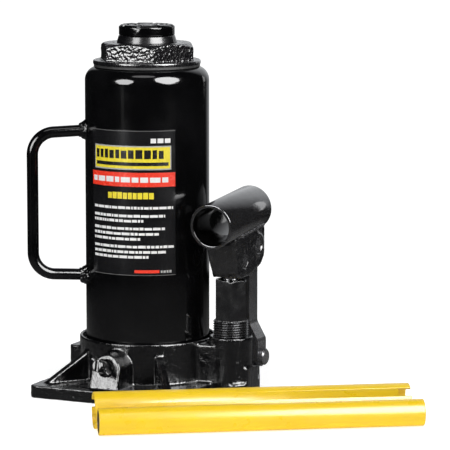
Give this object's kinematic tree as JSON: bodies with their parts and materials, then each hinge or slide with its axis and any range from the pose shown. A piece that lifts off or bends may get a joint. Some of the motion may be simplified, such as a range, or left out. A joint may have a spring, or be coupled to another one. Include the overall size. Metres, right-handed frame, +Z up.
{
  "type": "hydraulic bottle jack",
  "caption": "Hydraulic bottle jack with a hex-capped tank, extension screw saddle, hand pump with a tubular handle socket, carry handle and loose tubular handle sections.",
  "frame": {"origin": "on the ground, under the axis of the ram, at the middle of the tank", "axes": "+Z up along the ram, -Y towards the operator (release valve and mouth of the handle socket), +X towards the pump"},
  "size_m": [0.2702, 0.2033, 0.23],
  "materials": {
    "black_paint": "gloss",
    "black_cast": "gloss over rough casting",
    "black_steel": "satin",
    "linkage_steel": "satin",
    "ground_steel": "ground",
    "chrome_rod": "polished",
    "spring_steel": "plain",
    "yellow_paint": "gloss",
    "label_film": "printed film",
    "black_rubber": "matte",
    "seal_plastic": "matte",
    "brass": "plain"
  },
  "bodies": {
    "jack": {"base": "black_cast", "tank": "black_paint", "tank_gasket": "black_rubber", "tank_label": "label_film", "filler_plug": "black_rubber", "carry_handle": "black_paint", "handle_welds": "black_cast", "cap_nut": "black_cast", "cap_gasket": "black_rubber", "ram_wiper": "black_rubber", "guide_bush": "brass", "pressure_cylinder": "ground_steel", "cylinder_gasket": "seal_plastic", "release_ball": "chrome_rod", "overload_plug": "black_steel", "overload_spring": "spring_steel", "overload_ball": "chrome_rod", "inlet_filter": "brass", "inlet_ball": "chrome_rod", "delivery_ball": "chrome_rod", "delivery_spring": "spring_steel", "delivery_plug": "black_steel", "pump_cylinder": "black_steel", "pump_gasket": "seal_plastic", "plunger_seal": "seal_plastic"},
    "ram": {"ram": "black_steel", "ram_cup_seal": "seal_plastic", "seal_retaining_nut": "ground_steel"},
    "stop_ring": {"screw_stop_ring": "spring_steel"},
    "screw": {"extension_screw": "black_steel"},
    "valve": {"release_valve": "black_steel", "release_seal": "black_rubber"},
    "plunger": {"pump_plunger": "chrome_rod"},
    "link": {"link_plate_left": "linkage_steel", "link_plate_right": "linkage_steel", "link_pin": "linkage_steel", "link_pin_clip": "spring_steel", "lower_pin": "linkage_steel", "lower_pin_clip": "spring_steel"},
    "socket": {"socket_tube": "linkage_steel", "socket_yoke": "linkage_steel", "plunger_pin": "linkage_steel", "plunger_pin_clip": "spring_steel"},
    "large_handle": {"large_handle_section": "yellow_paint"},
    "small_handle": {"small_handle_section": "yellow_paint"}
  },
  "joints": [
    {"name": "ram_lift", "type": "slide", "parent": "jack", "child": "ram", "axis": [0, 0, 1], "range_m": [0, 0.15]},
    {"name": "extension_rise", "type": "slide", "parent": "ram", "child": "stop_ring", "axis": [0, 0, 1], "range_m": [0, 0.0701]},
    {"name": "extension_turn", "type": "hinge", "parent": "stop_ring", "child": "screw", "pos_m": [0, 0, 0.2], "axis": [0, 0, 1], "range_deg": [0, 6300]},
    {"name": "release_turn", "type": "hinge", "parent": "jack", "child": "valve", "pos_m": [0, -0.059, 0.0215], "axis": [0, -0.9563, 0.2924], "range_deg": [0, 540]},
    {"name": "link_swing", "type": "hinge", "parent": "jack", "child": "link", "pos_m": [0.058, 0.019, 0.0212], "axis": [-1, 0, 0], "range_deg": [0, 0.7]},
    {"name": "socket_pump", "type": "hinge", "parent": "link", "child": "socket", "pos_m": [0.058, 0.019, 0.0923], "axis": [-1, 0, 0], "range_deg": [0, 42]},
    {"name": "plunger_stroke", "type": "slide", "parent": "jack", "child": "plunger", "axis": [0, 0, 1], "range_m": [0, 0.0155]},
    {"name": "large_handle_lift", "type": "slide", "parent": "jack", "child": "large_handle", "axis": [0, 0, 1], "range_m": [0, 0.1]},
    {"name": "small_handle_lift", "type": "slide", "parent": "jack", "child": "small_handle", "axis": [0, 0, 1], "range_m": [0, 0.1]}
  ],
  "couplings": [
    {"joint": "extension_rise", "follows": "extension_turn", "m_per_rad": 0.00063662},
    {"joint": "link_swing", "follows": "socket_pump", "ratio": 0.01181},
    {"joint": "plunger_stroke", "follows": "socket_pump", "m_per_rad": 0.02048}
  ]
}
